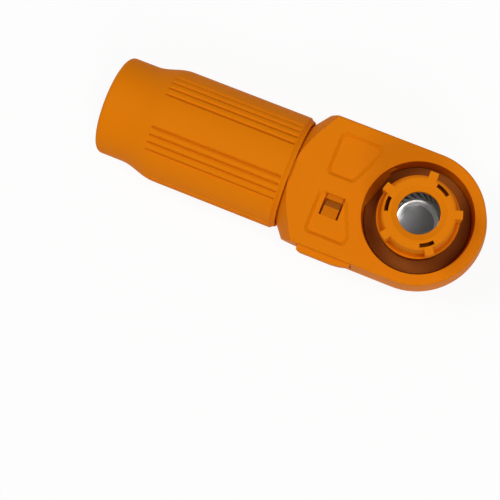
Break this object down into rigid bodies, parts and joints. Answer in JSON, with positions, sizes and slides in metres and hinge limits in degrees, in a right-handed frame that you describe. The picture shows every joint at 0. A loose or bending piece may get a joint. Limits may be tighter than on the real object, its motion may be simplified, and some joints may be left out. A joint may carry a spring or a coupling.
{
  "type": "energy storage connector",
  "caption": "Right-angle high-current cable plug with a touch-proof socket tower, a sliding lock plate with a release button and a sealed cable gland.",
  "frame": {"origin": "point where the mating axis meets the flat back of the head", "axes": "+Z along the mating axis, the way the socket faces; the cable leaves along -X; the release button is on the -Y side"},
  "size_m": [0.1227, 0.0435, 0.0512],
  "materials": {
    "body_plastic": "moulded orange glass-filled nylon, satin",
    "moving_plastic": "moulded orange plastic, satin",
    "grip_plastic": "moulded orange glass-filled nylon, satin",
    "inner_plastic": "moulded orange plastic, matt",
    "seal_rubber": "silicone rubber",
    "plated_copper": "silver-plated copper alloy, bright",
    "plated_bronze": "silver-plated bronze, bright",
    "spring_steel": "stainless steel, satin"
  },
  "bodies": {
    "housing": {"housing": "body_plastic", "back_cover": "inner_plastic", "back_cover_gasket": "seal_rubber", "contact_shroud": "body_plastic", "collar_seal": "seal_rubber", "socket_contact": "plated_copper", "crimp_lug": "plated_copper", "crown_sleeve": "plated_bronze", "louvre_crown": "plated_copper", "crown_front_ring": "plated_bronze", "crown_rear_ring": "plated_bronze", "button_spring_rear": "spring_steel", "button_spring_front": "spring_steel", "cable_seal": "seal_rubber", "seal_washer": "spring_steel", "seal_clamp": "inner_plastic", "neck_seal": "seal_rubber"},
    "lock": {"release_button": "moving_plastic", "lock_plate": "moving_plastic"},
    "thrust_washer": {"thrust_washer": "spring_steel"},
    "gland_nut": {"gland_nut": "grip_plastic"}
  },
  "joints": [
    {"name": "button_press", "type": "slide", "parent": "housing", "child": "lock", "axis": [0, 1, 0], "range_m": [0, 0.002], "stiffness_N_per_m": 2000, "springref_m": -0.002, "deforming": ["button_spring_rear", "button_spring_front"]},
    {"name": "nut_travel", "type": "slide", "parent": "housing", "child": "thrust_washer", "axis": [-1, 0, 0], "range_m": [0, 0.006]},
    {"name": "nut_spin", "type": "hinge", "parent": "thrust_washer", "child": "gland_nut", "pos_m": [-0.06, 0, 0.0184], "axis": [-1, 0, 0], "range_deg": [0, 1080]}
  ],
  "couplings": [
    {"joint": "nut_spin", "follows": "nut_travel", "rad_per_m": 3141.6}
  ]
}
